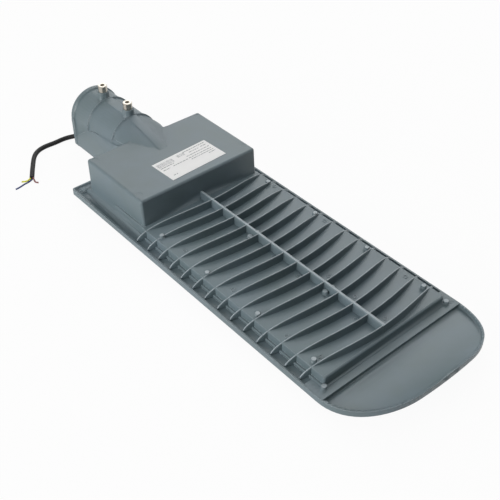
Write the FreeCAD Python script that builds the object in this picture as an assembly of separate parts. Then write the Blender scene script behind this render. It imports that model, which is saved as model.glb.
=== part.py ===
import FreeCAD, Part

import math
import os

# Street light head, die-cast body with arched cooling fins, a gear box and a side-entry pole neck.
# Millimetres. Z is up (the fins point up), Y runs from the nose (-) to the pole (+).
# While it is built, y = 0 is the foot of the gear box's front wall and z = 0 is the lowest face.
# The finished pieces move along Y together, so that the origin lies under the middle of the head.

# Plate: plan outline, rim and flange
PLATE_W = 226.0
PLATE_BACK_Y = 147.8
NOSE_START_Y = -337.8
NOSE_CORNER_R = 78.5
NOSE_END_R = 476.7
NOSE_SWEEP_R = 156.5
BACK_CORNER_R = 4.0
RIM_BOTTOM_Z = 10.0
RIM_H = 7.6
RIM_T = 3.0
FLANGE_TOP_Z = 15.5
FLANGE_T = 3.0
NOSE_PLATE_T = 2.3

# Ledge in front of the fins
LEDGE_FRONT_Y = -344.1
LEDGE_BACK_Y = -316.0
LEDGE_TOP_Z = 17.9

# Walls of the casting
WALL = 3.2
PLINTH_STEP = 5.5
PLINTH_TOP_Z = 19.1
PLINTH_BACK_Y = 131.6
PAN_STEP = 2.9
PAN_FRONT_Y = -331.6
PAN_TOP_Z = 29.7
PAN_T = 3.0
PAN_EDGE_R = 2.5
SKIRT_W = 210.0
SKIRT_FRONT_Y = -342.0
SKIRT_BACK_Y = 142.0
SKIRT_CORNER_R = 9.0

# Gear box
BOX_W = 188.0
BOX_BACK_Y = 128.6
BOX_TOP_Z = 67.9
BOX_LEAN = 2.6
BOX_R = 3.6

# Fins and spine
FIN_COUNT = 14
FIN_PITCH = 23.33
FIN_FRONT_Y = -326.1
FIN_R = 323.0
FIN_T = 2.2
FIN_CREST_Z = 41.2
FIN_CREST_W = 120.0
FIN_SPAN = 219.0
SPINE_T = 5.0
SPINE_TOP_Z = 41.9

# Bosses that show on the outside
BOSS_R = 3.6
BOSS_H = 4.3
SIDE_BOSS_INSET = 7.6
SIDE_BOSS_YS = (-31.5, -123.2, -215.0, -306.5)
SPINE_BOSS_X = 5.7
SPINE_BOSS_YS = (-104.2, -238.5)
FRONT_SCREW_INSET = 5.5
FRONT_SCREW_Y = -333.6
SIDE_SCREW_INSET = 5.0
BACK_SCREW_Y = 134.0

# Underside: plates, glass and seals
COVER_T = 4.0
GLASS_T = 4.0
SEAL_T = 1.5
PARTITION_T = 7.2
RIB_T = 3.2
RIB_STEP = 2.0
RIB_FRONT_Y = -329.6
GLASS_EDGE = 0.4
GLASS_LAP = 7.0
COVER_LAND = 14.0
COVER_RIB = 5.0
COVER_BAYS = 3

# Pole neck
AXIS_Z = 47.4
POLE_R = 31.0
NECK_R = 36.6
NECK_CORNER_R = 6.0
NECK_FLOOR = 5.3
MOUTH_Y = 262.0
MOUTH_RING_L = 6.5
RING_R = 38.6
RING_FLARE = 0.4
RIB_Y = (218.5, 157.5)
RIB_L = 2.5
SCREW_Y = (228.0, 165.0)
POLE_STOP_Y = 160.0
STOP_STEP = 4.0
BAY_TOP_R = 24.0
HOLLOW_CORNER_R = 1.5
BULKHEAD_T = 3.0
CHEEK_X = 38.5
SCREW_BOSS_R = 8.5
SCREW_BOSS_TOP_Z = 93.4
SCREW_BOSS_EDGE = 1.2
RIDGE_W = 13.0
RIDGE_H = 1.2
RIDGE_END_Y = 84.0

# Top edge of the neck's cheeks, from the box to the mouth ring: place along Y and height
CHEEK_LINE = ((BOX_BACK_Y, 67.0), (138.0, 60.0), (157.0, 55.4), (175.0, 54.3), (192.0, 53.2), (204.0, 51.0),
              (215.0, 47.0), (229.0, 39.0), (241.0, 31.0), (MOUTH_Y - MOUTH_RING_L, 19.0))

# Fairing, from the neck's rear rib down to its tip: place along Y, half width and top
FAIRING_START_HALF_W = 32.0
FAIRING = ((130.0, 33.4, 78.4), (113.5, 27.4, 74.9), (99.6, 21.4, 71.8), (86.8, 14.6, 69.2),
           (78.0, 8.0, 67.2))

# Screw pillars and small screws
PILLAR_R = 4.3
SMALL_SCREW_R = 2.0
SMALL_HEAD_R = 3.8
SMALL_HEAD_H = 2.2
OPTIC_SCREW_R = 1.5
OPTIC_HEAD_R = 2.7
THREAD_GAP = 0.1
HEAD_GAP = 0.4
SCREW_HOLE_DEPTH = 9.0
SCREW_FACETS = 12
FRAME_SCREW_YS = (-224.0, -116.0, -12.0)
COVER_SCREW_Y = 12.0

# Pole screws
POLE_SCREW_R = 4.0
POLE_SCREW_L = 16.0
POLE_HEAD_R = 6.5
POLE_HEAD_H = 8.0
POLE_HEAD_EDGE = 0.6
POLE_WASHER_R = 6.4
POLE_WASHER_T = 1.6
POLE_WASHER_SPLIT = 1.0
HEX_SOCKET = 6.0

# Saddles that carry the pole inside the neck
SADDLE_YS = (176.0, 205.0, 240.0)
SADDLE_HALF = 12.0

# Cable gland
GLAND_X = -20.0
GLAND_Z = 17.0
GLAND_THREAD_R = 7.6
GLAND_HEX = 19.0
GLAND_HEX_L = 4.0
GLAND_WASHER_T = 1.0
GLAND_DOME_L = 9.4
GLAND_DOME_R = 9.0
GLAND_DOME_EDGE = 2.6
GLAND_TAIL = 2.0
GLAND_NUT_L = 3.0

# Lamp: boards, light emitters and lens sheets
BOARD_T = 1.6
BOARD_EDGE = 1.6
BOARD_SPLIT = 2.6
CHIP = 3.5
CHIP_H = 1.0
CHIP_ROWS = 8
CHIP_COLUMNS = 3
OPTIC_T = 1.4
LENS_R = 9.0
LENS_H = 6.0
LENS_SIDES = 8
LENS_GAP = 0.3

# Driver and what else lies in the gear box
DRIVER_SIDE_GAP = 6.8
DRIVER_Y0 = 14.0
DRIVER_D = 64.0
DRIVER_H = 32.0
DRIVER_DROP = 2.7
DRIVER_EDGE_R = 2.5
END_CAP_T = 3.0
EAR_W = 11.0
EAR_D = 20.0
EAR_T = 2.0
LEAD_X = -58.0
LEAD_Z = 17.0
LEAD_HOLE_R = 5.0
LEAD_R = 1.0
LEAD_NOTCH = 8.0
LEAD_SPACING = 4.0
LEAD_OUT = 6.5
LEAD_UP = 6.0
LEAD_END = 23.0

# Surge protector and terminal block, both against the roof
SURGE = (50.0, 28.0, 24.0)
SURGE_SIDE_GAP = 4.8
SURGE_FRONT_Y = 88.0
SURGE_EDGE_R = 2.0
TERMINAL = (48.0, 22.0, 18.0)
TERMINAL_INSET = 32.0
TERMINAL_FRONT_Y = 88.0
POLES = 3
POLE_PITCH = 15.0
TERMINAL_SCREW_R = 2.5
EARTH_INSET = 18.0
EARTH_Y = 100.0
TERMINAL_SCREW_DEPTH = 1.0
MAINS_R = 1.2
MAINS_SPACING = 4.8
MAINS_STAGGER = 1.0
MAINS_TURN = 17.3
MAINS_IN = 4.0

# Marks and label on the box
MARK_R = 5.0
MARK_DEPTH = 0.3
MARK_INSET = 7.5
MARK_YS = (17.0, 119.0)
LABEL_W = 91.0
LABEL_D = 45.2
LABEL_T = 0.3
LABEL_CENTRE = (9.6, 38.8)
LABEL_TURN = 2.7

# Supply cable: route from the gland along the neck's lower corner, out of the mouth and over the table
CABLE_D = 6.8
CABLE_ROUTE = [(-20.0, 150.3, 17.0), (-20.0, 170.0, 17.0), (-21.2, 192.0, 13.4), (-20.9, 214.0, 10.0),
               (-21.6, 238.0, 9.7), (-21.8, 259.5, 9.5), (-26.5, 271.1, 8.2), (-35.3, 279.9, 5.6),
               (-46.9, 284.6, 3.8), (-61.0, 284.0, 3.4), (-76.2, 285.0, 3.4), (-88.2, 283.0, 3.4),
               (-98.9, 276.6, 3.4), (-107.2, 267.0, 3.4), (-115.6, 254.2, 3.4), (-124.2, 240.8, 3.4),
               (-133.4, 225.6, 3.4)]
WIRE_D = 2.3
EARTH_ROUTE = [(-135.6, 225.2, 4.1), (-139.3, 224.4, 2.9), (-143.2, 225.6, 1.4), (-148.0, 229.4, 1.2)]
NEUTRAL_ROUTE = [(-134.1, 224.4, 1.9), (-139.6, 222.2, 1.2), (-148.0, 221.9, 1.2), (-156.2, 219.0, 1.2),
                 (-163.2, 218.6, 1.2)]
LIVE_ROUTE = [(-132.1, 224.0, 3.9), (-133.2, 219.4, 2.2), (-133.9, 215.6, 1.2), (-130.9, 212.4, 1.2)]

# Clearance between pieces that slide together
SLIDE_GAP = 0.3

# How far cutters pass the faces that they cut, and a height above everything for them
PAST = 1.0

PLINTH_W = SKIRT_W - 2 * PLINTH_STEP
PAN_W = PLINTH_W - 2 * PAN_STEP
RIB_W = PAN_W - 2 * RIB_STEP
SIDE_BOSS_X = PAN_W / 2 - SIDE_BOSS_INSET
MARK_X = BOX_W / 2 - MARK_INSET
DRIVER_W = BOX_W - 2 * (WALL + DRIVER_SIDE_GAP + EAR_W + END_CAP_T)
SURGE_CORNER = (-BOX_W / 2 + WALL + SURGE_SIDE_GAP, SURGE_FRONT_Y)
TERMINAL_CORNER = (BOX_W / 2 - TERMINAL_INSET - TERMINAL[0], TERMINAL_FRONT_Y)
EARTH_SCREW = (BOX_W / 2 - EARTH_INSET, EARTH_Y)
NOSE_CORNER_X = PLATE_W / 2 - NOSE_CORNER_R
NOSE_DEPTH = NOSE_END_R - math.sqrt((NOSE_END_R - NOSE_CORNER_R) ** 2 - NOSE_CORNER_X ** 2)
NOSE_TIP_Y = NOSE_START_Y - NOSE_DEPTH
CENTRE_SHIFT = -(NOSE_TIP_Y + MOUTH_Y) / 2
RIM_TOP_Z = RIM_BOTTOM_Z + RIM_H
FLANGE_UNDER_Z = FLANGE_TOP_Z - FLANGE_T
FLANGE_MID_Z = FLANGE_TOP_Z - FLANGE_T / 2
PAN_UNDER_Z = PAN_TOP_Z - PAN_T
SEAL_RIB_Z = COVER_T + GLASS_T + SEAL_T
SKIRT_LAND_Z = COVER_T + SEAL_T
NECK_START_Y = SKIRT_BACK_Y + SLIDE_GAP
BULKHEAD_Y = NECK_START_Y
COVER_FRONT_Y = SLIDE_GAP
CABLE_START_Y = BULKHEAD_Y + BULKHEAD_T + GLAND_WASHER_T + GLAND_HEX_L
FRAME_BACK_Y = -SLIDE_GAP
GLASS_BACK_Y = -PARTITION_T / 2 - GLASS_EDGE
ROOF_Z = BOX_TOP_Z - WALL
DRIVER_TOP_Z = ROOF_Z - DRIVER_DROP
BOARD_UNDER_Z = PAN_UNDER_Z - BOARD_T
OPTIC_Z = BOARD_UNDER_Z - CHIP_H - OPTIC_T
TALL = 2 * SCREW_BOSS_TOP_Z

SIDES = (-1, 1)
FRONT_SCREW_X = SKIRT_W / 2 - FRONT_SCREW_INSET
SIDE_SCREW_X = SKIRT_W / 2 - SIDE_SCREW_INSET
FRAME_SCREWS = [(side * FRONT_SCREW_X, FRONT_SCREW_Y) for side in SIDES]
FRAME_SCREWS += [(side * SIDE_SCREW_X, y) for side in SIDES for y in FRAME_SCREW_YS]
COVER_SCREWS = [(side * SIDE_SCREW_X, y) for side in SIDES for y in (BACK_SCREW_Y, COVER_SCREW_Y)]
OPTIC_SCREWS = [(side * SIDE_BOSS_X, y) for side in SIDES for y in SIDE_BOSS_YS]
OPTIC_SCREWS += [(side * SPINE_BOSS_X, y) for side in SIDES for y in SPINE_BOSS_YS]
DRIVER_SCREWS = [(side * (DRIVER_W / 2 + END_CAP_T + EAR_W / 2), DRIVER_Y0 + DRIVER_D / 2) for side in SIDES]
EJECTOR_MARKS = [(side * MARK_X, y) for side in SIDES for y in MARK_YS]


def vec(x, y, z):
    return FreeCAD.Vector(x, y, z)


def block(x0, x1, y0, y1, z0, z1):
    """Box between two corners."""
    return Part.makeBox(x1 - x0, y1 - y0, z1 - z0, vec(x0, y0, z0))


def mid_block(width, y0, y1, z0, z1):
    """Box centred on x = 0."""
    return block(-width / 2, width / 2, y0, y1, z0, z1)


def rod(x, y, z0, z1, radius):
    """Upright cylinder."""
    return Part.makeCylinder(radius, z1 - z0, vec(x, y, z0))


def rod_y(x, z, y0, y1, radius):
    """Cylinder along Y."""
    return Part.makeCylinder(radius, y1 - y0, vec(x, y0, z), vec(0, 1, 0))


def face_of(edges):
    return Part.Face(Part.Wire(Part.__sortEdges__(edges)))


def line(a, b):
    return Part.LineSegment(a, b).toShape()


def arc(a, b, c):
    return Part.Arc(a, b, c).toShape()


def rounded_block(width, y0, y1, z0, z1, radius):
    """Box centred on x = 0 with rounded upright corners."""
    solid = mid_block(width, y0, y1, z0, z1)
    upright = [e for e in solid.Edges if abs(e.tangentAt(e.FirstParameter).z) > 0.9]
    return solid.makeFillet(radius, upright)


def save(name, shape):
    """Centre a finished piece along Y and write it."""
    placed = shape.copy()
    placed.translate(vec(0, CENTRE_SHIFT, 0))
    placed.exportStep(os.path.join("parts", name + ".step"))
    print(name, len(placed.Solids), placed.isValid(), round(placed.Volume, 1))


def plan_prism(inset, z0, z1):
    """Prism on the plate's outline, moved inward by inset: straight sides, corner arcs, end arc."""
    half = PLATE_W / 2 - inset
    corner_r = NOSE_CORNER_R - inset
    end_r = NOSE_END_R - inset
    back = PLATE_BACK_Y - inset
    back_r = max(BACK_CORNER_R - inset, 0.5)
    end_centre_y = NOSE_TIP_Y + NOSE_END_R
    reach = math.hypot(NOSE_CORNER_X, NOSE_START_Y - end_centre_y)
    join_x = NOSE_CORNER_X / reach * end_r
    join_y = end_centre_y + (NOSE_START_Y - end_centre_y) / reach * end_r
    bisect = (math.atan2(join_y - NOSE_START_Y, join_x - NOSE_CORNER_X)) / 2
    mid_x = NOSE_CORNER_X + corner_r * math.cos(bisect)
    mid_y = NOSE_START_Y + corner_r * math.sin(bisect)
    diagonal = back_r * math.sqrt(0.5)
    edges = [arc(vec(-join_x, join_y, z0), vec(0, NOSE_TIP_Y + inset, z0), vec(join_x, join_y, z0))]
    for side in SIDES:
        edges.append(arc(vec(side * join_x, join_y, z0), vec(side * mid_x, mid_y, z0),
                         vec(side * half, NOSE_START_Y, z0)))
        edges.append(line(vec(side * half, NOSE_START_Y, z0), vec(side * half, back - back_r, z0)))
        edges.append(arc(vec(side * half, back - back_r, z0),
                         vec(side * (half - back_r + diagonal), back - back_r + diagonal, z0),
                         vec(side * (half - back_r), back, z0)))
    edges.append(line(vec(-half + back_r, back, z0), vec(half - back_r, back, z0)))
    return face_of(edges).extrude(vec(0, 0, z1 - z0))


def sweep_band(z0, z1, y1):
    """Layer between two levels that lies flat and sweeps up along an arc under the nose, to y1."""
    far = NOSE_DEPTH + PAST
    x0 = -PLATE_W
    rise = NOSE_SWEEP_R - math.sqrt(NOSE_SWEEP_R ** 2 - far ** 2)
    half_rise = NOSE_SWEEP_R - math.sqrt(NOSE_SWEEP_R ** 2 - (far / 2) ** 2)
    edges = []
    for z in (z0, z1):
        edges.append(arc(vec(x0, NOSE_START_Y, z), vec(x0, NOSE_START_Y - far / 2, z + half_rise),
                         vec(x0, NOSE_START_Y - far, z + rise)))
        edges.append(line(vec(x0, NOSE_START_Y, z), vec(x0, y1, z)))
    edges.append(line(vec(x0, y1, z0), vec(x0, y1, z1)))
    edges.append(line(vec(x0, NOSE_START_Y - far, z0 + rise), vec(x0, NOSE_START_Y - far, z1 + rise)))
    return face_of(edges).extrude(vec(2 * PLATE_W, 0, 0))


def tray():
    """Plate with its rim: the nose is a dished tray that sweeps up, the rest is a flange."""
    rim_outside = plan_prism(0, 0, TALL).common(sweep_band(RIM_BOTTOM_Z, RIM_TOP_Z, PLATE_BACK_Y + PAST))
    hollow = plan_prism(RIM_T, 0, TALL)
    nose = block(-PLATE_W, PLATE_W, NOSE_TIP_Y, LEDGE_FRONT_Y, 0, TALL)
    over_nose = hollow.common(nose).common(sweep_band(RIM_BOTTOM_Z + NOSE_PLATE_T, TALL, PLATE_BACK_Y + PAST))
    over_flange = hollow.common(block(-PLATE_W, PLATE_W, LEDGE_FRONT_Y, PLATE_BACK_Y, FLANGE_TOP_Z, TALL))
    under_flange = hollow.common(block(-PLATE_W, PLATE_W, LEDGE_FRONT_Y + WALL, PLATE_BACK_Y,
                                       0, FLANGE_UNDER_Z))
    return rim_outside.cut(over_nose).cut(over_flange).cut(under_flange)


def ledge():
    """Low step across the plate, in front of the first fin."""
    top = mid_block(PLATE_W - RIM_T, LEDGE_FRONT_Y, LEDGE_BACK_Y, LEDGE_TOP_Z - WALL, LEDGE_TOP_Z)
    front = mid_block(PLATE_W - RIM_T, LEDGE_FRONT_Y, LEDGE_FRONT_Y + WALL, RIM_BOTTOM_Z, LEDGE_TOP_Z)
    return top.fuse(front).common(plan_prism(RIM_T / 2, 0, TALL))


def box_profile(inset):
    """Gear box outline in the YZ plane: the front wall leans back a little."""
    y0 = inset
    y1 = BOX_BACK_Y - inset
    z1 = BOX_TOP_Z - inset
    x0 = -BOX_W / 2 + inset
    points = [vec(x0, y0, COVER_T), vec(x0, y0, PAN_UNDER_Z), vec(x0, y0 + BOX_LEAN, z1),
              vec(x0, y1, z1), vec(x0, y1, COVER_T)]
    edges = [line(points[i], points[(i + 1) % len(points)]) for i in range(len(points))]
    return face_of(edges).extrude(vec(BOX_W - 2 * inset, 0, 0))


def gear_box():
    """Outside of the gear box, with its upright and top edges rounded."""
    solid = box_profile(0)
    soft = [e for e in solid.Edges if e.BoundBox.ZMax > PAN_TOP_Z + 1]
    return solid.makeFillet(BOX_R, soft)


def fin_arch():
    """Fence that all fins are cut to: flat crest, then an arc down to the flange on each side."""
    half = FIN_SPAN / 2
    crest = FIN_CREST_W / 2
    drop = FIN_CREST_Z - FLANGE_TOP_Z
    run = half - crest
    radius = (run ** 2 + drop ** 2) / (2 * drop)
    turn = math.asin(run / radius) / 2
    mid_x = crest + radius * math.sin(turn)
    mid_z = FIN_CREST_Z - radius * (1 - math.cos(turn))
    y0 = PAN_FRONT_Y
    base = FLANGE_MID_Z
    edges = [line(vec(-crest, y0, FIN_CREST_Z), vec(crest, y0, FIN_CREST_Z)),
             line(vec(-half, y0, base), vec(half, y0, base))]
    for side in SIDES:
        edges.append(arc(vec(side * crest, y0, FIN_CREST_Z), vec(side * mid_x, y0, mid_z),
                         vec(side * half, y0, FLANGE_TOP_Z)))
        edges.append(line(vec(side * half, y0, FLANGE_TOP_Z), vec(side * half, y0, base)))
    return face_of(edges).extrude(vec(0, -PAN_FRONT_Y, 0))


def fins():
    """Cooling fins, curved in plan with the bulge towards the nose, and the spine along the middle."""
    arch = fin_arch()
    pieces = []
    for index in range(FIN_COUNT):
        centre_y = FIN_FRONT_Y + index * FIN_PITCH + FIN_R
        ring = rod(0, centre_y, 0, TALL, FIN_R).cut(rod(0, centre_y, 0, TALL, FIN_R - FIN_T))
        near = mid_block(FIN_SPAN, centre_y - FIN_R, centre_y - FIN_R / 2, 0, TALL)
        pieces.append(ring.common(near).common(arch))
    spine = mid_block(SPINE_T, FIN_FRONT_Y, BOX_LEAN, PAN_UNDER_Z, SPINE_TOP_Z)
    return spine.multiFuse(pieces)


def outer_bosses():
    """Blind ends of the screw holes, which stand out of the fin floor, the ledge and the flange."""
    pieces = []
    for side in SIDES:
        for y in SIDE_BOSS_YS:
            pieces.append(rod(side * SIDE_BOSS_X, y, PAN_UNDER_Z, PAN_TOP_Z + BOSS_H, BOSS_R))
        for y in SPINE_BOSS_YS:
            pieces.append(rod(side * SPINE_BOSS_X, y, PAN_UNDER_Z, PAN_TOP_Z + BOSS_H, BOSS_R))
        front_z = LEDGE_TOP_Z + BOSS_H
        pieces.append(rod(side * FRONT_SCREW_X, FRONT_SCREW_Y, LEDGE_TOP_Z - WALL, front_z, BOSS_R))
        back_z = FLANGE_TOP_Z + BOSS_H
        pieces.append(rod(side * SIDE_SCREW_X, BACK_SCREW_Y, FLANGE_UNDER_Z, back_z, BOSS_R))
    return pieces


def neck_section(top_r, half_w, floor_z, corner_r, y0, y1):
    """Prism along Y: half circle on top, straight sides, flat floor with rounded corners."""
    corner = corner_r * math.sqrt(0.5)
    edges = [arc(vec(-top_r, y0, AXIS_Z), vec(0, y0, AXIS_Z + top_r), vec(top_r, y0, AXIS_Z))]
    for side in SIDES:
        low = vec(side * half_w, y0, floor_z + corner_r)
        if half_w != top_r:
            edges.append(line(vec(side * top_r, y0, AXIS_Z), vec(side * half_w, y0, AXIS_Z)))
        edges.append(line(vec(side * half_w, y0, AXIS_Z), low))
        edges.append(arc(low, vec(side * (half_w - corner_r + corner), y0, floor_z + corner_r - corner),
                         vec(side * (half_w - corner_r), y0, floor_z)))
    edges.append(line(vec(-half_w + corner_r, y0, floor_z), vec(half_w - corner_r, y0, floor_z)))
    return face_of(edges).extrude(vec(0, y1 - y0, 0))


def cheeks():
    """Thicker lower side walls of the neck, whose top edge falls in a curve from the box to the mouth."""
    curve = Part.BSplineCurve()
    curve.interpolate([vec(-CHEEK_X, y, z) for y, z in CHEEK_LINE])
    y0, z0 = CHEEK_LINE[0]
    y1, z1 = CHEEK_LINE[-1]
    corners = [(y1, z1), (y1, 0), (NECK_START_Y, 0), (NECK_START_Y, SKIRT_LAND_Z), (y0, SKIRT_LAND_Z),
               (y0, z0)]
    points = [vec(-CHEEK_X, y, z) for y, z in corners]
    edges = [curve.toShape()] + [line(points[i], points[i + 1]) for i in range(len(points) - 1)]
    slab = face_of(edges).extrude(vec(2 * CHEEK_X, 0, 0))
    envelope = neck_section(CHEEK_X, CHEEK_X, 0, NECK_CORNER_R, BOX_BACK_Y, MOUTH_Y)
    flank = block(-CHEEK_X, CHEEK_X, BOX_BACK_Y, MOUTH_Y, NECK_CORNER_R, AXIS_Z + NECK_R / 2)
    return slab.common(envelope.fuse(flank))


def fairing_ring(y, half_w, top_z, base_z):
    """One section of the fairing: a circular segment of the given width and height."""
    radius = (half_w ** 2 + (top_z - base_z) ** 2) / (2 * (top_z - base_z))
    centre_z = top_z - radius
    turn = math.asin(min(half_w / radius, 1)) / 2
    mid = vec(radius * math.sin(turn), y, centre_z + radius * math.cos(turn))
    other = vec(-mid.x, y, mid.z)
    left = vec(-half_w, y, base_z)
    right = vec(half_w, y, base_z)
    crown = vec(0, y, top_z)
    return Part.Wire([arc(left, other, crown), arc(crown, mid, right), line(right, left)])


def fairing():
    """Crest that runs down from the neck onto the top of the gear box and ends in a rounded tip."""
    sections = ((RIB_Y[1], FAIRING_START_HALF_W, AXIS_Z + NECK_R),) + FAIRING
    rings = [fairing_ring(y, half_w, top_z, ROOF_Z) for y, half_w, top_z in sections]
    return Part.makeLoft(rings, True)


def ridge():
    """Raised band along the crown, between the screw bosses and down the fairing."""
    foot_z = BOX_TOP_Z - PAST
    start_y, _, start_z = FAIRING[0]
    low_y, _, low_z = FAIRING[2]
    crown_z = AXIS_Z + NECK_R + RIDGE_H
    corners = [(RIB_Y[0], AXIS_Z), (RIB_Y[0], crown_z), (RIB_Y[1], crown_z), (start_y, start_z + RIDGE_H),
               (low_y, low_z + RIDGE_H), (RIDGE_END_Y, BOX_TOP_Z + RIDGE_H / 3), (RIDGE_END_Y, foot_z),
               (start_y, foot_z), (RIB_Y[1], AXIS_Z)]
    side = [vec(-RIDGE_W / 2, y, z) for y, z in corners]
    edges = [line(side[i], side[(i + 1) % len(side)]) for i in range(len(side))]
    return face_of(edges).extrude(vec(RIDGE_W, 0, 0))


def screw_boss(y):
    """Round boss for a clamp screw on the neck's crown, with a softened top edge."""
    edge_z = SCREW_BOSS_TOP_Z - SCREW_BOSS_EDGE
    edge = Part.makeCone(SCREW_BOSS_R, SCREW_BOSS_R - SCREW_BOSS_EDGE, SCREW_BOSS_EDGE, vec(0, y, edge_z))
    return rod(0, y, AXIS_Z + POLE_R + PAST, edge_z, SCREW_BOSS_R).fuse(edge)


def neck_outside():
    """Pole neck as one solid: tube, mouth ring, ribs, cheeks, fairing, ridge and screw bosses."""
    tube = neck_section(NECK_R, NECK_R, 0, NECK_CORNER_R, RIB_Y[1], MOUTH_Y)
    throat = neck_section(NECK_R, NECK_R, 0, NECK_CORNER_R, NECK_START_Y, RIB_Y[1])
    throat = throat.common(mid_block(4 * NECK_R, 0, MOUTH_Y, 0, ROOF_Z))
    root = mid_block(2 * NECK_R, BOX_BACK_Y - WALL, NECK_START_Y, SKIRT_LAND_Z, AXIS_Z)
    root_arch = rod_y(0, AXIS_Z, BOX_BACK_Y - WALL, NECK_START_Y, NECK_R)
    root_arch = root_arch.common(mid_block(4 * NECK_R, 0, MOUTH_Y, AXIS_Z, ROOF_Z))
    pieces = [throat, root, root_arch, cheeks(), fairing(), ridge()]
    ring_y = MOUTH_Y - MOUTH_RING_L
    pieces.append(neck_section(RING_R, RING_R + RING_FLARE, 0, NECK_CORNER_R, ring_y, MOUTH_Y))
    for y in RIB_Y:
        pieces.append(rod_y(0, AXIS_Z, y - RIB_L / 2, y + RIB_L / 2, RING_R)
                      .common(mid_block(4 * RING_R, 0, MOUTH_Y, AXIS_Z, TALL)))
    pieces += [screw_boss(y) for y in SCREW_Y]
    return tube.multiFuse(pieces)


def neck_hollow():
    """Space inside the neck: the pole bore, the narrower part behind the pole stop and the cable bay."""
    bore = neck_section(POLE_R, POLE_R, NECK_FLOOR, HOLLOW_CORNER_R, POLE_STOP_Y, MOUTH_Y + PAST)
    behind = neck_section(POLE_R - STOP_STEP, POLE_R, NECK_FLOOR, HOLLOW_CORNER_R, BULKHEAD_Y + BULKHEAD_T,
                          POLE_STOP_Y)
    bay = mid_block(2 * (NECK_R - WALL), BOX_BACK_Y - 2 * WALL, BULKHEAD_Y, COVER_T - PAST, AXIS_Z)
    bay_top = rod_y(0, AXIS_Z, BOX_BACK_Y - 2 * WALL, BULKHEAD_Y, BAY_TOP_R)
    hollow = bore.fuse(behind).fuse(bay).fuse(bay_top)
    for y in SADDLE_YS:
        saddle = mid_block(2 * SADDLE_HALF, y, y + WALL, 0, AXIS_Z)
        hollow = hollow.cut(saddle.cut(rod_y(0, AXIS_Z, y - PAST, y + WALL + PAST, POLE_R)))
    return hollow


def pillar(x, y, z0, z1):
    """Screw pillar with a web to the skirt's side wall."""
    wall_x = math.copysign(SKIRT_W / 2 - PAST, x)
    web = block(min(x, wall_x), max(x, wall_x), y - PILLAR_R / 2, y + PILLAR_R / 2, z0, z1)
    return rod(x, y, z0, z1, PILLAR_R).fuse(web)


def partition():
    """Wall under the fin floor between the lamp room and the gear room, stepped like the rooms it closes."""
    front = -PARTITION_T / 2
    low = mid_block(SKIRT_W - WALL, front, WALL, COVER_T, FLANGE_MID_Z)
    middle = mid_block(PLINTH_W - WALL, front, WALL, COVER_T, PLINTH_TOP_Z - WALL / 2)
    high = mid_block(PAN_W - WALL, front, WALL, COVER_T, PAN_UNDER_Z + PAN_T / 2)
    return low.fuse(middle).fuse(high)


def seal_rib():
    """Rib round the lamp room that presses the glass seal."""
    back = -PARTITION_T / 2
    outside = mid_block(RIB_W, RIB_FRONT_Y, back, SEAL_RIB_Z, PLINTH_TOP_Z - WALL / 2)
    return outside.cut(mid_block(RIB_W - 2 * RIB_T, RIB_FRONT_Y + RIB_T, back - RIB_T, 0, TALL))


def under_plate(y0, y1, z0, z1):
    """Slice of the skirt's outline, square where it is cut across."""
    whole = rounded_block(SKIRT_W, SKIRT_FRONT_Y, SKIRT_BACK_Y, z0, z1, SKIRT_CORNER_R)
    return whole.common(mid_block(2 * SKIRT_W, y0, y1, z0, z1))


def seal_step():
    """Room for the flat seal under the gear room's edge."""
    return mid_block(2 * SKIRT_W, COVER_FRONT_Y - SLIDE_GAP, NECK_START_Y, COVER_T - PAST, SKIRT_LAND_Z)


def pan():
    """Raised floor of the fins, closed in front by the chamber's end wall, with rounded edges."""
    solid = mid_block(PAN_W, PAN_FRONT_Y, BOX_BACK_Y / 2, PLINTH_TOP_Z - WALL, PAN_TOP_Z)
    soft = [e for e in solid.Edges if e.BoundBox.ZMax > PLINTH_TOP_Z and e.BoundBox.YMin < 0]
    return solid.makeFillet(PAN_EDGE_R, soft)


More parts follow.
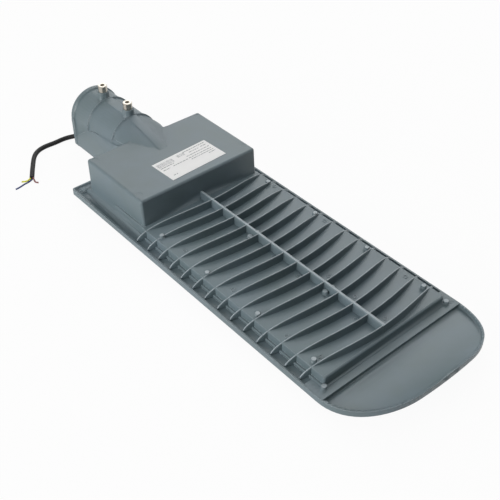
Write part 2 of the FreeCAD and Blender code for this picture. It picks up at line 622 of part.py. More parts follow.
def body_casting():
    """The die-cast body: tray, skirt, plinth, pan, gear box, fins and pole neck in one piece."""
    body = tray().fuse(ledge())
    skirt = rounded_block(SKIRT_W, SKIRT_FRONT_Y, SKIRT_BACK_Y, COVER_T, FLANGE_MID_Z, SKIRT_CORNER_R)
    plinth = mid_block(PLINTH_W, LEDGE_FRONT_Y + WALL, PLINTH_BACK_Y, FLANGE_UNDER_Z, PLINTH_TOP_Z)
    plinth = plinth.cut(mid_block(PLATE_W, LEDGE_FRONT_Y, PAN_FRONT_Y - WALL, 0, TALL))
    body = body.multiFuse([skirt, plinth, pan(), gear_box(), fins()])
    flange_room = rounded_block(SKIRT_W - 2 * WALL, SKIRT_FRONT_Y + WALL, SKIRT_BACK_Y - WALL,
                                COVER_T - PAST, FLANGE_UNDER_Z, SKIRT_CORNER_R - WALL)
    plinth_room = mid_block(PLINTH_W - 2 * WALL, PAN_FRONT_Y + WALL, PLINTH_BACK_Y - WALL,
                            COVER_T - PAST, PLINTH_TOP_Z - WALL)
    lamp_room = mid_block(PAN_W - 2 * WALL, PAN_FRONT_Y + WALL, -PARTITION_T / 2, COVER_T - PAST, PAN_UNDER_Z)
    body = body.cut(flange_room.fuse(plinth_room)).cut(lamp_room).cut(box_profile(WALL))
    adds = [neck_outside()] + outer_bosses()
    adds.append(partition())
    adds.append(seal_rib())
    for x, y in FRAME_SCREWS:
        adds.append(pillar(x, y, COVER_T, FLANGE_MID_Z))
    for x, y in COVER_SCREWS:
        adds.append(pillar(x, y, SKIRT_LAND_Z, FLANGE_MID_Z))
    for x, y in DRIVER_SCREWS:
        adds.append(rod(x, y, DRIVER_TOP_Z, BOX_TOP_Z - WALL / 2, BOSS_R))
    body = body.multiFuse(adds)
    cuts = [neck_hollow(), seal_step()]
    cuts.append(rod_y(GLAND_X, GLAND_Z, BULKHEAD_Y - PAST, BULKHEAD_Y + BULKHEAD_T + PAST,
                      GLAND_THREAD_R + SLIDE_GAP))
    cuts.append(rod_y(LEAD_X, LEAD_Z, -PARTITION_T, 2 * PARTITION_T, LEAD_HOLE_R))
    for y in SCREW_Y:
        cuts.append(rod(0, y, AXIS_Z, SCREW_BOSS_TOP_Z + PAST, POLE_SCREW_R + THREAD_GAP))
    for x, y in FRAME_SCREWS + COVER_SCREWS:
        cuts.append(rod(x, y, COVER_T - PAST, COVER_T + SCREW_HOLE_DEPTH, SMALL_SCREW_R + THREAD_GAP))
    for x, y in OPTIC_SCREWS:
        cuts.append(rod(x, y, PAN_UNDER_Z - PAST, PAN_TOP_Z + BOSS_H / 2, OPTIC_SCREW_R + THREAD_GAP))
    for x, y in DRIVER_SCREWS:
        cuts.append(rod(x, y, DRIVER_TOP_Z - PAST, BOX_TOP_Z - WALL / 2, SMALL_SCREW_R + THREAD_GAP))
    for x, y in EJECTOR_MARKS:
        cuts.append(rod(x, y, BOX_TOP_Z - MARK_DEPTH, BOX_TOP_Z + PAST, MARK_R))
    for cutter in cuts:
        body = body.cut(cutter)
    return body


def polygon(x, y, z, radius, sides):
    """Corners of a level regular polygon; the last one repeats the first."""
    turns = [2 * math.pi * i / sides for i in range(sides + 1)]
    return [vec(x + radius * math.cos(t), y + radius * math.sin(t), z) for t in turns]


def flat_face(points):
    return Part.Face(Part.makePolygon(points))


def prism(x, y, z0, z1, radius, sides):
    """Upright regular prism."""
    return flat_face(polygon(x, y, z0, radius, sides)).extrude(vec(0, 0, z1 - z0))


def hex_prism_y(x, z, y0, y1, across):
    """Hexagonal prism along Y, across flats as given."""
    solid = prism(0, 0, 0, y1 - y0, across / math.sqrt(3), 6)
    solid.rotate(vec(0, 0, 0), vec(1, 0, 0), -90)
    solid.translate(vec(x, y0, z))
    return solid


def pole_screw(y):
    """Socket head screw that clamps the pole, its tip flush with the bore."""
    seat = SCREW_BOSS_TOP_Z + POLE_WASHER_T
    edge_z = seat + POLE_HEAD_H - POLE_HEAD_EDGE
    shank = rod(0, y, seat - POLE_SCREW_L, seat, POLE_SCREW_R)
    head = rod(0, y, seat, edge_z, POLE_HEAD_R)
    edge = Part.makeCone(POLE_HEAD_R, POLE_HEAD_R - POLE_HEAD_EDGE, POLE_HEAD_EDGE, vec(0, y, edge_z))
    socket = prism(0, y, seat + POLE_HEAD_H / 2, seat + POLE_HEAD_H + PAST, HEX_SOCKET / math.sqrt(3), 6)
    return shank.multiFuse([head, edge]).cut(socket)


def pole_washers():
    """Spring washers under the heads of the two pole screws, each split on its right."""
    z0 = SCREW_BOSS_TOP_Z
    rings = []
    for y in SCREW_Y:
        ring = rod(0, y, z0, z0 + POLE_WASHER_T, POLE_WASHER_R)
        split = block(0, POLE_WASHER_R + PAST, y - POLE_WASHER_SPLIT / 2, y + POLE_WASHER_SPLIT / 2, 0, TALL)
        rings.append(ring.cut(rod(0, y, 0, TALL, POLE_SCREW_R + SLIDE_GAP)).cut(split))
    return Part.makeCompound(rings)


def rating_label():
    """Plain sticker on the gear box, a little out of square."""
    x, y = LABEL_CENTRE
    sheet = mid_block(LABEL_W, -LABEL_D / 2, LABEL_D / 2, BOX_TOP_Z, BOX_TOP_Z + LABEL_T)
    sheet.rotate(vec(0, 0, 0), vec(0, 0, 1), LABEL_TURN)
    sheet.translate(vec(x, y, 0))
    return sheet


def screw_from_below(x, y, z0, head_r, head_h, shank_r, length):
    """Pan head screw put in from below, in flat facets and with its cross recess left out."""
    head = prism(x, y, z0, z0 + head_h, head_r, SCREW_FACETS)
    return head.fuse(prism(x, y, z0 + head_h, z0 + head_h + length, shank_r, SCREW_FACETS))


def screw_group(places, z0, head_r, head_h, shank_r, length):
    return Part.makeCompound([screw_from_below(x, y, z0, head_r, head_h, shank_r, length) for x, y in places])


def with_screw_seats(plate, places):
    """Cut the counterbores and holes for the small screws out of a plate that starts at z = 0."""
    for x, y in places:
        plate = plate.cut(rod(x, y, -PAST, SMALL_HEAD_H + SLIDE_GAP, SMALL_HEAD_R + HEAD_GAP))
        plate = plate.cut(rod(x, y, 0, COVER_T + PAST, SMALL_SCREW_R + HEAD_GAP))
    return plate


def glass_frame():
    """Frame that holds the cover glass up against its seal."""
    open_w = RIB_W + 2 * GLASS_EDGE - 2 * GLASS_LAP
    open_y = RIB_FRONT_Y - GLASS_EDGE + GLASS_LAP
    plate = under_plate(SKIRT_FRONT_Y - PAST, FRAME_BACK_Y, 0, COVER_T)
    opening = mid_block(open_w, open_y, GLASS_BACK_Y - GLASS_LAP, -PAST, COVER_T + PAST)
    corners = [e for e in opening.Edges if abs(e.tangentAt(e.FirstParameter).z) > 0.9]
    return with_screw_seats(plate.cut(opening.makeFillet(SKIRT_CORNER_R, corners)), FRAME_SCREWS)


def glass_seal_ring():
    """Flat seal between the glass and the rib."""
    outside = mid_block(RIB_W, RIB_FRONT_Y, GLASS_BACK_Y, SEAL_RIB_Z - SEAL_T, SEAL_RIB_Z)
    return outside.cut(mid_block(RIB_W - 2 * RIB_T, RIB_FRONT_Y + RIB_T, -PARTITION_T / 2 - RIB_T, 0, TALL))


def cover_glass():
    front_y = RIB_FRONT_Y - GLASS_EDGE
    return mid_block(RIB_W + 2 * GLASS_EDGE, front_y, GLASS_BACK_Y, COVER_T, COVER_T + GLASS_T)


def driver_cover():
    """Cover under the gear room: a plate with a raised land and stiffening ribs inside."""
    plate = under_plate(COVER_FRONT_Y, SKIRT_BACK_Y + PAST, 0, COVER_T)
    inner_w = SKIRT_W - 2 * COVER_LAND
    bay_w = (inner_w - (COVER_BAYS - 1) * COVER_RIB) / COVER_BAYS
    for index in range(COVER_BAYS):
        x0 = -inner_w / 2 + index * (bay_w + COVER_RIB)
        plate = plate.cut(block(x0, x0 + bay_w, COVER_FRONT_Y + COVER_LAND, SKIRT_BACK_Y - COVER_LAND,
                                COVER_T / 2, COVER_T + PAST))
    return with_screw_seats(plate, COVER_SCREWS)


def driver_seal():
    """Flat seal under the gear room's edge, with eyes round the cover screws."""
    ring = under_plate(COVER_FRONT_Y, SKIRT_BACK_Y + PAST, COVER_T, SKIRT_LAND_Z)
    room = rounded_block(SKIRT_W - 2 * WALL, WALL, SKIRT_BACK_Y - WALL, 0, TALL, SKIRT_CORNER_R - WALL)
    ring = ring.cut(room)
    for x, y in COVER_SCREWS:
        ring = ring.fuse(pillar(x, y, COVER_T, SKIRT_LAND_Z))
    for x, y in COVER_SCREWS:
        ring = ring.cut(rod(x, y, 0, TALL, SMALL_SCREW_R + HEAD_GAP))
    return ring


def lamp_span():
    """Width and ends of one board: from the split beside the middle to the pan's side wall."""
    width = PAN_W / 2 - WALL - BOARD_EDGE - BOARD_SPLIT
    return width, PAN_FRONT_Y + WALL + BOARD_EDGE, -PARTITION_T / 2 - BOARD_EDGE


def lamp_sheet(side, z0, z1, hole_r):
    """Flat sheet of a board's outline on one side, with its screw holes."""
    width, y0, y1 = lamp_span()
    sheet = block(BOARD_SPLIT, BOARD_SPLIT + width, y0, y1, z0, z1)
    if side < 0:
        sheet = block(-BOARD_SPLIT - width, -BOARD_SPLIT, y0, y1, z0, z1)
    for x, y in OPTIC_SCREWS:
        if x * side > 0:
            sheet = sheet.cut(rod(x, y, z0 - PAST, z1 + PAST, hole_r))
    return sheet


def chip_places(side):
    """Grid of light emitters on one board, in columns between the two rows of its screws."""
    _, y0, y1 = lamp_span()
    places = []
    near = SPINE_BOSS_X + OPTIC_HEAD_R + LENS_GAP + LENS_R
    far = SIDE_BOSS_X - OPTIC_HEAD_R - LENS_GAP - LENS_R
    for column in range(CHIP_COLUMNS):
        x = near + (far - near) * column / (CHIP_COLUMNS - 1)
        for row in range(CHIP_ROWS):
            places.append((side * x, y0 + (y1 - y0) * (row + 0.5) / CHIP_ROWS))
    return places


def light_chips():
    half = CHIP / 2
    chips = [block(x - half, x + half, y - half, y + half, BOARD_UNDER_Z - CHIP_H, BOARD_UNDER_Z)
             for side in SIDES for x, y in chip_places(side)]
    return Part.makeCompound(chips)


def lens(x, y):
    """One lens as a flat-sided frustum that widens towards the sheet."""
    low = polygon(x, y, OPTIC_Z - LENS_H, LENS_R / 2, LENS_SIDES)
    high = polygon(x, y, OPTIC_Z, LENS_R, LENS_SIDES)
    faces = [flat_face(low), flat_face(high)]
    faces += [flat_face([low[i], low[i + 1], high[i + 1], high[i], low[i]]) for i in range(LENS_SIDES)]
    return Part.Solid(Part.Shell(faces))


def lens_sheet(side):
    """Clear lens sheet: a flat sheet with a rim that stands on the board and one lens under each chip."""
    sheet = lamp_sheet(side, OPTIC_Z, OPTIC_Z + OPTIC_T, OPTIC_SCREW_R + SLIDE_GAP)
    rim = lamp_sheet(side, OPTIC_Z + OPTIC_T, BOARD_UNDER_Z, OPTIC_SCREW_R + SLIDE_GAP)
    width, y0, y1 = lamp_span()
    x0, x1 = sorted((side * (BOARD_SPLIT + CHIP), side * (BOARD_SPLIT + width - CHIP)))
    rim = rim.cut(block(x0, x1, y0 + CHIP, y1 - CHIP, 0, TALL))
    whole = sheet.multiFuse([rim] + [lens(x, y) for x, y in chip_places(side)])
    return whole.cut(block(LEAD_X - LEAD_NOTCH, LEAD_X + LEAD_NOTCH, y1 - LEAD_NOTCH, y1 + PAST, 0, TALL))


def driver_case():
    """Power supply in an extruded case, hung under the roof of the gear box."""
    half = DRIVER_W / 2
    y1 = DRIVER_Y0 + DRIVER_D
    case = block(-half, half, DRIVER_Y0, y1, DRIVER_TOP_Z - DRIVER_H, DRIVER_TOP_Z)
    long_edges = [e for e in case.Edges if abs(e.tangentAt(e.FirstParameter).x) > 0.9]
    return case.makeFillet(DRIVER_EDGE_R, long_edges)


def driver_end_caps():
    """End caps of the power supply, each with an ear for its screw."""
    caps = []
    y_mid = DRIVER_Y0 + DRIVER_D / 2
    for side in SIDES:
        x0, x1 = sorted((side * DRIVER_W / 2, side * (DRIVER_W / 2 + END_CAP_T)))
        cap = block(x0, x1, DRIVER_Y0, DRIVER_Y0 + DRIVER_D, DRIVER_TOP_Z - DRIVER_H, DRIVER_TOP_Z)
        x0, x1 = sorted((side * DRIVER_W / 2, side * (DRIVER_W / 2 + END_CAP_T + EAR_W)))
        ear = block(x0, x1, y_mid - EAR_D / 2, y_mid + EAR_D / 2, DRIVER_TOP_Z - EAR_T, DRIVER_TOP_Z)
        ear = ear.cut(mid_block(DRIVER_W, 0, TALL, 0, TALL))
        caps.append(cap.fuse(ear))
    holes = [rod(x, y, 0, TALL, SMALL_SCREW_R + SLIDE_GAP) for x, y in DRIVER_SCREWS]
    return Part.makeCompound([cap.cut(holes[0]).cut(holes[1]) for cap in caps])


def tangent_tube(route, diameter, name):
    """Tube along straight runs joined by tangent arcs, each as large as its two runs allow."""
    points = [vec(*p) for p in route]
    edges = []
    start = points[0]
    radii = []
    for i in range(1, len(points) - 1):
        back = points[i - 1] - points[i]
        ahead = points[i + 1] - points[i]
        shorter = min(back.Length, ahead.Length)
        back.normalize()
        ahead.normalize()
        half_turn = (math.pi - back.getAngle(ahead)) / 2
        setback = 0.45 * shorter
        radius = setback / math.tan(half_turn)
        radii.append(round(radius, 1))
        a = points[i] + back * setback
        b = points[i] + ahead * setback
        bisector = (back + ahead).normalize()
        mid = points[i] + bisector * (math.hypot(radius, setback) - radius)
        edges.append(line(start, a))
        edges.append(arc(a, mid, b))
        start = b
    edges.append(line(start, points[-1]))
    path = Part.Wire(edges)
    direction = points[1] - points[0]
    disc = Part.Wire(Part.makeCircle(diameter / 2, points[0], direction))
    tube = path.makePipeShell([disc], True, True)
    expected = math.pi * diameter ** 2 / 4 * path.Length
    print(name, "length", round(path.Length, 1), "radii", radii)
    print(name, "volume share", round(tube.Volume / expected, 4))
    return tube


def lead(route, diameter):
    """Internal lead: a plain tube along straight runs with mitred bends."""
    points = [vec(*p) for p in route]
    disc = Part.Wire(Part.makeCircle(diameter / 2, points[0], points[1] - points[0]))
    return Part.makePolygon(points).makePipeShell([disc], True, False, 1)


def surge_protector():
    """Moulded surge protector against the roof."""
    x, y = SURGE_CORNER
    width, depth, height = SURGE
    case = block(x, x + width, y, y + depth, ROOF_Z - height, ROOF_Z)
    upright = [e for e in case.Edges if abs(e.tangentAt(e.FirstParameter).z) > 0.9]
    return case.makeFillet(SURGE_EDGE_R, upright)


def pole_places():
    """Middle of each pole of the terminal block."""
    x, y = TERMINAL_CORNER
    first = x + TERMINAL[0] / 2 - POLE_PITCH * (POLES - 1) / 2
    return [(first + POLE_PITCH * index, y + TERMINAL[1] / 2) for index in range(POLES)]


def terminal_block():
    """Mains terminal block: a stepped body with a wire hole along Y and a screw well for each pole."""
    x, y = TERMINAL_CORNER
    width, depth, height = TERMINAL
    low_z = ROOF_Z - height
    mid_z = ROOF_Z - height / 2
    body = block(x, x + width, y, y + depth, low_z, ROOF_Z)
    for px, py in pole_places():
        body = body.cut(rod_y(px, mid_z, y - PAST, y + depth + PAST, MAINS_R + SLIDE_GAP))
        body = body.cut(rod(px, py, low_z - PAST, mid_z, TERMINAL_SCREW_R + SLIDE_GAP))
    return body


def terminal_screws():
    """Screws of the terminal block, each down in its well on its wire."""
    low = ROOF_Z - TERMINAL[2] + TERMINAL_SCREW_DEPTH
    high = ROOF_Z - TERMINAL[2] / 2 - MAINS_R
    return Part.makeCompound([rod(px, py, low, high, TERMINAL_SCREW_R) for px, py in pole_places()])


def earth_screw():
    """Earth screw in the roof of the gear box."""
    x, y = EARTH_SCREW
    return rod(x, y, ROOF_Z - SMALL_HEAD_H, ROOF_Z, SMALL_HEAD_R)


def gland_body():
    """Cable gland: thread through the bulkhead and hexagon on the pole side."""
    y0 = BULKHEAD_Y - GLAND_NUT_L - GLAND_TAIL
    hex_y = BULKHEAD_Y + BULKHEAD_T + GLAND_WASHER_T
    thread = rod_y(GLAND_X, GLAND_Z, y0, hex_y, GLAND_THREAD_R)
    return thread.fuse(hex_prism_y(GLAND_X, GLAND_Z, hex_y, hex_y + GLAND_HEX_L, GLAND_HEX))


def gland_washer():
    """Rubber ring between the bulkhead and the gland's hexagon."""
    y0 = BULKHEAD_Y + BULKHEAD_T
    ring = rod_y(GLAND_X, GLAND_Z, y0, y0 + GLAND_WASHER_T, GLAND_DOME_R)
    return ring.cut(rod_y(GLAND_X, GLAND_Z, y0 - PAST, y0 + GLAND_WASHER_T + PAST, GLAND_THREAD_R))


def gland_dome():
    """Dome nut that squeezes the gland onto the cable."""
    y0 = CABLE_START_Y
    y1 = y0 + GLAND_DOME_L
    edge_y = y1 - GLAND_DOME_EDGE
    taper = Part.makeCone(GLAND_DOME_R, GLAND_DOME_R - GLAND_DOME_EDGE, GLAND_DOME_EDGE,
                          vec(GLAND_X, edge_y, GLAND_Z), vec(0, 1, 0))
    dome = rod_y(GLAND_X, GLAND_Z, y0, edge_y, GLAND_DOME_R).fuse(taper)
    return dome.cut(rod_y(GLAND_X, GLAND_Z, y0 - PAST, y1 + PAST, CABLE_D / 2 + SLIDE_GAP))


def gland_nut():
    """Lock nut on the gear room side of the bulkhead."""
    nut = hex_prism_y(GLAND_X, GLAND_Z, BULKHEAD_Y - GLAND_NUT_L, BULKHEAD_Y, GLAND_HEX)
    return nut.cut(rod_y(GLAND_X, GLAND_Z, 0, TALL, GLAND_THREAD_R))


def mains_leads():
    """Three cores from the gland, up across the gear room and into the terminal block."""
    start_y = BULKHEAD_Y - GLAND_NUT_L - GLAND_TAIL
    end_y = TERMINAL_CORNER[1] + TERMINAL[1] - MAINS_IN
    end_z = ROOF_Z - TERMINAL[2] / 2
    leads = []
    for index, (px, _) in enumerate(pole_places()):
        step = index - (POLES - 1) / 2
        x = GLAND_X + step * MAINS_SPACING
        turn_y = start_y - MAINS_TURN - step * MAINS_STAGGER
        leads.append(lead([(x, start_y, GLAND_Z), (x, turn_y, GLAND_Z), (px, turn_y, end_z),
                           (px, end_y, end_z)], 2 * MAINS_R))
    return Part.makeCompound(leads)


def led_leads():
    """Two leads from the power supply through the partition to the left board."""
    case_z = DRIVER_TOP_Z - DRIVER_H + LEAD_UP
    drop_y = DRIVER_Y0 - LEAD_OUT
    end_y = DRIVER_Y0 - LEAD_END
    leads = []
    for side in SIDES:
        x = LEAD_X + side * LEAD_SPACING / 2
        leads.append(lead([(x, DRIVER_Y0, case_z), (x, drop_y, case_z), (x, drop_y, LEAD_Z),
                           (x, end_y, LEAD_Z), (x, end_y, BOARD_UNDER_Z)], 2 * LEAD_R))
    return Part.makeCompound(leads)


def main():
    os.makedirs("parts", exist_ok=True)
    save("body_casting", body_casting())
    save("pole_screw_front", pole_screw(SCREW_Y[0]))
    save("pole_screw_rear", pole_screw(SCREW_Y[1]))
    save("pole_screw_washers", pole_washers())
    save("rating_label", rating_label())
    save("glass_frame", glass_frame())
    save("glass_frame_screws", screw_group(FRAME_SCREWS, SLIDE_GAP, SMALL_HEAD_R, SMALL_HEAD_H, SMALL_SCREW_R,
                                           SCREW_HOLE_DEPTH))
    save("cover_glass", cover_glass())
    save("glass_gasket", glass_seal_ring())
    save("driver_cover", driver_cover())
    save("driver_gasket", driver_seal())
    save("driver_cover_screws", screw_group(COVER_SCREWS, SLIDE_GAP, SMALL_HEAD_R, SMALL_HEAD_H,
                                            SMALL_SCREW_R, SCREW_HOLE_DEPTH))
    for side, name in ((-1, "left"), (1, "right")):
        save("led_board_" + name, lamp_sheet(side, BOARD_UNDER_Z, PAN_UNDER_Z, OPTIC_SCREW_R + SLIDE_GAP))
        save("optic_" + name, lens_sheet(side))
    save("leds", light_chips())
    save("optic_screws", screw_group(OPTIC_SCREWS, OPTIC_Z - SMALL_HEAD_H, OPTIC_HEAD_R, SMALL_HEAD_H,
                                     OPTIC_SCREW_R, SCREW_HOLE_DEPTH))
    save("driver_case", driver_case())
    save("driver_end_caps", driver_end_caps())
    save("driver_screws", screw_group(DRIVER_SCREWS, DRIVER_TOP_Z - EAR_T - SMALL_HEAD_H, SMALL_HEAD_R,
                                      SMALL_HEAD_H, SMALL_SCREW_R, EAR_T + DRIVER_DROP))
    save("surge_protector", surge_protector())
    save("terminal_block", terminal_block())
    save("terminal_screws", terminal_screws())
    save("earth_screw", earth_screw())
    save("cable_gland_body", gland_body())
    save("cable_gland_dome", gland_dome())
    save("cable_gland_nut", gland_nut())
    save("gland_seal", gland_washer())
    save("mains_leads", mains_leads())
    save("led_leads", led_leads())
    save("supply_cable", tangent_tube(CABLE_ROUTE, CABLE_D, "supply_cable"))
    save("wire_earth", tangent_tube(EARTH_ROUTE, WIRE_D, "wire_earth"))
    save("wire_neutral", tangent_tube(NEUTRAL_ROUTE, WIRE_D, "wire_neutral"))
    save("wire_live", tangent_tube(LIVE_ROUTE, WIRE_D, "wire_live"))


main()
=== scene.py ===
"""Street light head: powder-coated die-cast body, clamp screws, sticker and cut supply cable."""

import math

import bmesh
import bpy
import numpy as np
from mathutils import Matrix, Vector


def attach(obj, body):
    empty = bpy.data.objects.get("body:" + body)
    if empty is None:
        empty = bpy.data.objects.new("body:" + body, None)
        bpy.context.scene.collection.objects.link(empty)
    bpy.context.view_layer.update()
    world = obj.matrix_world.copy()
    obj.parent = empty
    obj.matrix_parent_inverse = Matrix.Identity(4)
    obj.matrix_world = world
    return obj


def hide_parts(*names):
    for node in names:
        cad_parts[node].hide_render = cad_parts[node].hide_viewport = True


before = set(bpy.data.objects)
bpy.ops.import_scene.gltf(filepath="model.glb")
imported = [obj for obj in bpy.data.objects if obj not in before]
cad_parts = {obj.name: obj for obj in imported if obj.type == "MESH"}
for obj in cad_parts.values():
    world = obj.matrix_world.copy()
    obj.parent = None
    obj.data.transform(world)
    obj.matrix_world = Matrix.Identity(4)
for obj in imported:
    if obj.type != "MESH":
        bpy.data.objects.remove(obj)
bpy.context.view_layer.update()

MM = 0.001

# The CAD model is drawn from the gear box's front wall and then centred along Y by this much
CENTRE_SHIFT = 77.9

# Cable route as in the part's source, millimetres from the gear box's front wall and the table
CABLE_D = 6.8
CABLE_ROUTE = [(-20.0, 150.3, 17.0), (-20.0, 170.0, 17.0), (-21.2, 192.0, 13.4), (-20.9, 214.0, 10.0),
               (-21.6, 238.0, 9.7), (-21.8, 259.5, 9.5), (-26.5, 271.1, 8.2), (-35.3, 279.9, 5.6),
               (-46.9, 284.6, 3.8), (-61.0, 284.0, 3.4), (-76.2, 285.0, 3.4), (-88.2, 283.0, 3.4),
               (-98.9, 276.6, 3.4), (-107.2, 267.0, 3.4), (-115.6, 254.2, 3.4), (-124.2, 240.8, 3.4),
               (-133.4, 225.6, 3.4)]
WIRE_D = 2.3
EARTH_ROUTE = [(-135.6, 225.2, 4.1), (-139.3, 224.4, 2.9), (-143.2, 225.6, 1.4), (-148.0, 229.4, 1.2)]
NEUTRAL_ROUTE = [(-134.1, 224.4, 1.9), (-139.6, 222.2, 1.2), (-148.0, 221.9, 1.2), (-156.2, 219.0, 1.2),
                 (-163.2, 218.6, 1.2)]
LIVE_ROUTE = [(-132.1, 224.0, 3.9), (-133.2, 219.4, 2.2), (-133.9, 215.6, 1.2), (-130.9, 212.4, 1.2)]


# Materials

BEVEL_SAMPLES = 4
EDGE_DOT = 0.75
COAT_CLOUD_MM = 60
PEEL_MM = 1.6
PEEL_DEPTH_MM = 0.4
TURNING_MM = 0.8
SMEAR_MM = 40
CLOUD_GRAINS = 8


def linear(hex_code):
    """sRGB hex to a linear RGBA colour."""
    values = [int(hex_code[i:i + 2], 16) / 255 for i in (1, 3, 5)]
    return [v / 12.92 if v <= 0.04045 else ((v + 0.055) / 1.055) ** 2.4 for v in values] + [1.0]


def node(tree, kind, links=None, **settings):
    """Add one node, set its properties or unlinked sockets by name and link the sockets given."""
    made = tree.nodes.new(kind)
    for key, value in settings.items():
        if hasattr(made, key) and key not in made.inputs:
            setattr(made, key, value)
        else:
            made.inputs[key.replace("_", " ")].default_value = value
    for socket, source in (links or {}).items():
        tree.links.new(source, made.inputs[socket])
    return made


def start(name, **settings):
    """New material with a Principled shader: the material, its tree, the shader and object coordinates."""
    material = bpy.data.materials.new(name)
    material.use_nodes = True
    tree = material.node_tree
    shader = tree.nodes["Principled BSDF"]
    for key, value in settings.items():
        shader.inputs[key.replace("_", " ")].default_value = value
    place = tree.nodes.new("ShaderNodeTexCoord").outputs["Object"]
    return material, tree, shader, place


def per_metre(size_mm):
    """Noise scale that gives features of this size."""
    return 1.0 / (size_mm * MM)


def two_tones(tree, cloud, low, high, colour, second):
    """One colour where the cloud is below low, the second above high, and an even blend in between."""
    share = node(tree, "ShaderNodeMapRange", {"Value": cloud.outputs["Fac"]}, From_Min=low, From_Max=high)
    mixed = node(tree, "ShaderNodeMixRGB", {"Fac": share.outputs["Result"]},
                 Color1=linear(colour), Color2=linear(second))
    return mixed.outputs["Color"]


def edge_share(tree, radius_mm):
    """0 on flat faces, rising to 1 on edges: how far the rounded normal departs from the true one."""
    soft = node(tree, "ShaderNodeBevel", samples=BEVEL_SAMPLES, Radius=radius_mm * MM)
    true = node(tree, "ShaderNodeNewGeometry")
    dot = node(tree, "ShaderNodeVectorMath", {0: soft.outputs["Normal"], 1: true.outputs["Normal"]},
               operation="DOT_PRODUCT")
    share = node(tree, "ShaderNodeMapRange", {"Value": dot.outputs["Value"]}, From_Min=1.0, From_Max=EDGE_DOT)
    return soft.outputs["Normal"], share.outputs["Result"]


def powder_coat(name, edge_mm):
    """Satin powder coat on die-cast aluminium: blue-grey with a fine orange peel, with a painted highlight on
    its edges.
    """
    material, tree, shader, place = start(name, Roughness=0.42, Metallic=0.0)
    cloud = node(tree, "ShaderNodeTexNoise", {"Vector": place}, Scale=per_metre(COAT_CLOUD_MM), Detail=3.0)
    body = two_tones(tree, cloud, 0.35, 0.65, "#637276", "#69787f")
    normal, share = edge_share(tree, edge_mm)
    # Edges mixed towards a pale grey: a painted highlight
    painted_edge_highlight = node(tree, "ShaderNodeMixRGB", {"Fac": share, "Color1": body}, Color2=linear("#aab5ba"))
    tree.links.new(painted_edge_highlight.outputs["Color"], shader.inputs["Base Color"])
    peel = node(tree, "ShaderNodeTexNoise", {"Vector": place}, Scale=per_metre(PEEL_MM), Detail=2.0)
    bump = node(tree, "ShaderNodeBump", {"Height": peel.outputs["Fac"], "Normal": normal},
                Strength=0.06, Distance=PEEL_DEPTH_MM * MM)
    tree.links.new(bump.outputs["Normal"], shader.inputs["Normal"])
    rough = node(tree, "ShaderNodeMapRange", {"Value": cloud.outputs["Fac"]}, To_Min=0.38, To_Max=0.48)
    tree.links.new(rough.outputs["Result"], shader.inputs["Roughness"])
    return material


def zinc_plate(name):
    """Zinc-plated steel: bright warm metal, its shine broken by marks coarser than real turning marks."""
    material, tree, shader, place = start(name, Metallic=1.0, Roughness=0.24)
    shader.inputs["Base Color"].default_value = linear("#b3aea4")
    marks = node(tree, "ShaderNodeTexNoise", {"Vector": place}, Scale=per_metre(TURNING_MM), Detail=2.0)
    rough = node(tree, "ShaderNodeMapRange", {"Value": marks.outputs["Fac"]}, To_Min=0.16, To_Max=0.34)
    tree.links.new(rough.outputs["Result"], shader.inputs["Roughness"])
    return material


def grained(name, colour, roughness, grain_mm, depth_mm, second, **settings):
    """Moulded, printed or extruded surface: two close tones in a soft cloud, and a fine grain in relief."""
    material, tree, shader, place = start(name, Roughness=roughness, **settings)
    cloud = node(tree, "ShaderNodeTexNoise", {"Vector": place}, Scale=per_metre(grain_mm * CLOUD_GRAINS),
                 Detail=2.0)
    tree.links.new(two_tones(tree, cloud, 0.3, 0.7, colour, second), shader.inputs["Base Color"])
    grain = node(tree, "ShaderNodeTexNoise", {"Vector": place}, Scale=per_metre(grain_mm), Detail=2.0)
    bump = node(tree, "ShaderNodeBump", {"Height": grain.outputs["Fac"]},
                Strength=0.2, Distance=depth_mm * MM)
    tree.links.new(bump.outputs["Normal"], shader.inputs["Normal"])
    return material


def clear(name, colour, roughness, ior):
    """Clear pane or lens with a faint smear in its shine."""
    material, tree, shader, place = start(name, Roughness=roughness, IOR=ior, Transmission_Weight=1.0)
    smear = node(tree, "ShaderNodeTexNoise", {"Vector": place}, Scale=per_metre(SMEAR_MM), Detail=3.0)
    rough = node(tree, "ShaderNodeMapRange", {"Value": smear.outputs["Fac"]},
                 To_Min=roughness, To_Max=roughness + 0.05)
    tree.links.new(rough.outputs["Result"], shader.inputs["Roughness"])
    shader.inputs["Base Color"].default_value = linear(colour)
    return material


# Satin powder coat: even blue-grey with soft highlights, and a painted highlight on edges and crests
COAT = powder_coat("powder_coat_casting", 0.6)
PLATE_COAT = powder_coat("powder_coat_plates", 0.5)
# Pale coat for fin crests, the spine's top and the bosses' tops: a painted highlight
HIGHLIGHT_COAT = grained("powder_coat_painted_highlight", "#9ba6ab", 0.42, 0.6, 0.02, "#a5b0b5")
# Zinc plate: small sharp highlights on the screw heads
ZINC = zinc_plate("zinc_plated_steel")
# Polyester label film with screen print: smooth bright white and flat grey
FILM = grained("label_film", "#f0f0ef", 0.35, 2.0, 0.02, "#f4f4f3")
INK = grained("grey_print", "#85888b", 0.5, 2.0, 0.01, "#8f9295")
# Toughened glass and moulded polycarbonate: clear, with the glass a little cooler and sharper
GLASS = clear("toughened_glass", "#eef4f1", 0.02, 1.52)
LENS = clear("clear_polycarbonate", "#f4f6f6", 0.03, 1.58)
# LED boards: flat white solder mask with matt yellow phosphor domes
BOARD = grained("white_solder_mask", "#e8e7e1", 0.4, 1.5, 0.02, "#efeeea")
PHOSPHOR = grained("yellow_phosphor", "#e8c03c", 0.55, 0.4, 0.05, "#f0cc52")
# Silicone rubber: matt black with hardly any shine
SILICONE = grained("black_silicone", "#16171a", 0.7, 0.5, 0.05, "#1c1d20")
# Extruded aluminium, as drawn: soft grey metal shine
ALLOY = grained("extruded_aluminium", "#b4b8bb", 0.35, 1.0, 0.03, "#bfc3c6", Metallic=1.0)
